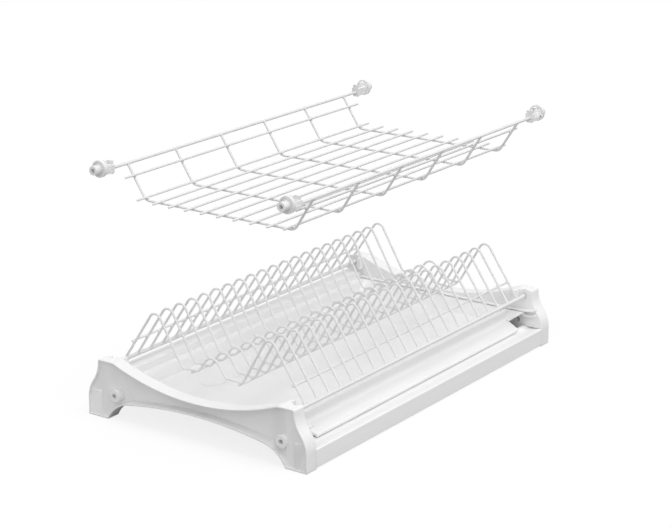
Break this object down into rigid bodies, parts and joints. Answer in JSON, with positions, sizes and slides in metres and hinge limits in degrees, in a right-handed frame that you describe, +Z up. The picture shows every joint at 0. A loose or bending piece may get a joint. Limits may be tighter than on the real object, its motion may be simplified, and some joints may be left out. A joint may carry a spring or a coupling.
{
  "type": "cabinet dish drainer",
  "caption": "Two-tier dish drainer for a wall cabinet: wire plate rack and sliding drip tray on moulded end frames, with a hanging wire glass rack above.",
  "frame": {"origin": "on the resting plane of the feet, midway between the two end frames and midway between their front and rear feet", "axes": "+X along the width to the right, +Y from the front to the back, +Z up"},
  "size_m": [0.48, 0.28, 0.2744],
  "materials": {
    "frame_plastic": "white moulded polypropylene, satin",
    "rail_plastic": "white extruded plastic, satin",
    "tray_plastic": "white moulded polystyrene, soft gloss",
    "coated_wire": "steel wire dipped in white plastic coating",
    "fitting_plastic": "white moulded nylon"
  },
  "bodies": {
    "base": {"left_end_frame": "frame_plastic", "right_end_frame": "frame_plastic", "front_rail": "rail_plastic", "rear_rail": "rail_plastic"},
    "drip_tray": {"drip_tray": "tray_plastic"},
    "plate_rack": {"plate_rack_separators": "coated_wire", "plate_rack_front_rod": "coated_wire", "plate_rack_rear_rod": "coated_wire", "plate_rack_rear_outer_wire": "coated_wire", "plate_rack_rear_trough_wire": "coated_wire", "plate_rack_front_trough_wire": "coated_wire", "plate_rack_front_outer_wire": "coated_wire"},
    "glass_rack": {"glass_rack_front_rod": "coated_wire", "glass_rack_rear_rod": "coated_wire", "glass_rack_cross_wires": "coated_wire", "glass_rack_bottom_wires": "coated_wire", "glass_rack_side_wires": "coated_wire"},
    "left_front_end": {"left_front_fitting": "fitting_plastic", "left_front_clip_jaw": "fitting_plastic"},
    "left_rear_end": {"left_rear_fitting": "fitting_plastic", "left_rear_clip_jaw": "fitting_plastic"},
    "right_front_end": {"right_front_fitting": "fitting_plastic", "right_front_clip_jaw": "fitting_plastic"},
    "right_rear_end": {"right_rear_fitting": "fitting_plastic", "right_rear_clip_jaw": "fitting_plastic"}
  },
  "joints": [
    {"name": "tray_slide", "type": "slide", "parent": "base", "child": "drip_tray", "axis": [0, -1, 0], "range_m": [0, 0.17]},
    {"name": "plate_rack_lift", "type": "slide", "parent": "base", "child": "plate_rack", "axis": [0, 0, 1], "range_m": [0, 0.08]},
    {"name": "glass_rack_lift", "type": "slide", "parent": "base", "child": "glass_rack", "axis": [0, 0, 1], "range_m": [0, 0.08]},
    {"name": "left_front_end_slide", "type": "slide", "parent": "glass_rack", "child": "left_front_end", "axis": [1, 0, 0], "range_m": [0, 0.0086]},
    {"name": "left_rear_end_slide", "type": "slide", "parent": "glass_rack", "child": "left_rear_end", "axis": [1, 0, 0], "range_m": [0, 0.0086]},
    {"name": "right_front_end_slide", "type": "slide", "parent": "glass_rack", "child": "right_front_end", "axis": [-1, 0, 0], "range_m": [0, 0.0086]},
    {"name": "right_rear_end_slide", "type": "slide", "parent": "glass_rack", "child": "right_rear_end", "axis": [-1, 0, 0], "range_m": [0, 0.0086]}
  ]
}
